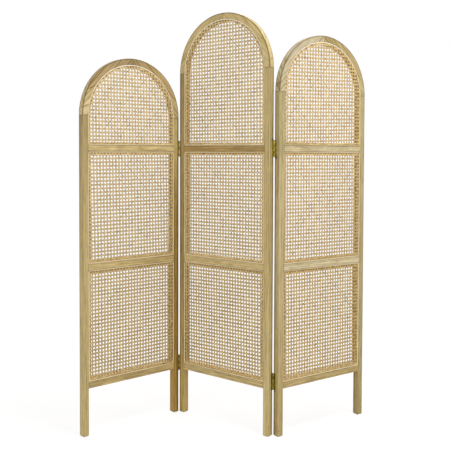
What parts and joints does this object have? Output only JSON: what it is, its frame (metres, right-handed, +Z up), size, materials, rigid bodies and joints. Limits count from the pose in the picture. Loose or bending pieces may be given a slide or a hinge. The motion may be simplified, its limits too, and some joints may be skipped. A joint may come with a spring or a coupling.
{
  "type": "folding room divider",
  "caption": "Folding screen of hinged wooden panels with arched tops, open legs and cane webbing between their rails.",
  "frame": {"origin": "on the floor, at the centre of the standing divider's plan box", "axes": "+Z up along the stiles, +X across the divider to the viewer's right, +Y away from the viewer"},
  "size_m": [1.2394, 0.3464, 1.8],
  "materials": {
    "frame_wood": "satin",
    "batten_wood": "satin",
    "cane": "satin",
    "reed_spline": "satin",
    "dowel_wood": "matte",
    "hinge_brass": "satin",
    "screw_brass": "satin"
  },
  "bodies": {
    "middle_panel": {"middle_panel_left_stile": "frame_wood", "middle_panel_right_stile": "frame_wood", "middle_panel_left_arch": "frame_wood", "middle_panel_right_arch": "frame_wood", "middle_panel_bottom_rail": "frame_wood", "middle_panel_middle_rail": "frame_wood", "middle_panel_upper_rail": "frame_wood", "middle_panel_lower_insert": "batten_wood", "middle_panel_middle_insert": "batten_wood", "middle_panel_upper_insert": "batten_wood", "middle_panel_lower_webbing": "cane", "middle_panel_middle_webbing": "cane", "middle_panel_upper_webbing": "cane", "middle_panel_splines": "reed_spline", "middle_panel_dowels": "dowel_wood", "middle_panel_hinge_screws": "screw_brass", "left_fold_lower_fixed_leaf": "hinge_brass", "left_fold_lower_pin": "hinge_brass", "left_fold_upper_fixed_leaf": "hinge_brass", "left_fold_upper_pin": "hinge_brass", "right_fold_lower_fixed_leaf": "hinge_brass", "right_fold_lower_pin": "hinge_brass", "right_fold_upper_fixed_leaf": "hinge_brass", "right_fold_upper_pin": "hinge_brass"},
    "left_panel": {"left_panel_left_stile": "frame_wood", "left_panel_right_stile": "frame_wood", "left_panel_left_arch": "frame_wood", "left_panel_right_arch": "frame_wood", "left_panel_bottom_rail": "frame_wood", "left_panel_middle_rail": "frame_wood", "left_panel_upper_rail": "frame_wood", "left_panel_lower_insert": "batten_wood", "left_panel_middle_insert": "batten_wood", "left_panel_upper_insert": "batten_wood", "left_panel_lower_webbing": "cane", "left_panel_middle_webbing": "cane", "left_panel_upper_webbing": "cane", "left_panel_splines": "reed_spline", "left_panel_dowels": "dowel_wood", "left_panel_hinge_screws": "screw_brass", "left_fold_lower_swing_leaf": "hinge_brass", "left_fold_upper_swing_leaf": "hinge_brass"},
    "right_panel": {"right_panel_left_stile": "frame_wood", "right_panel_right_stile": "frame_wood", "right_panel_left_arch": "frame_wood", "right_panel_right_arch": "frame_wood", "right_panel_bottom_rail": "frame_wood", "right_panel_middle_rail": "frame_wood", "right_panel_upper_rail": "frame_wood", "right_panel_lower_insert": "batten_wood", "right_panel_middle_insert": "batten_wood", "right_panel_upper_insert": "batten_wood", "right_panel_lower_webbing": "cane", "right_panel_middle_webbing": "cane", "right_panel_upper_webbing": "cane", "right_panel_splines": "reed_spline", "right_panel_dowels": "dowel_wood", "right_panel_hinge_screws": "screw_brass", "right_fold_lower_swing_leaf": "hinge_brass", "right_fold_upper_swing_leaf": "hinge_brass"}
  },
  "joints": [
    {"name": "left_fold", "type": "hinge", "parent": "middle_panel", "child": "left_panel", "pos_m": [-0.21843, 0.14942, 0.721], "axis": [0, 0, 1], "range_deg": [-79.5, 100.5]},
    {"name": "right_fold", "type": "hinge", "parent": "middle_panel", "child": "right_panel", "pos_m": [0.19373, -0.1393, 0.721], "axis": [0, 0, 1], "range_deg": [-74.5, 105.5]}
  ]
}
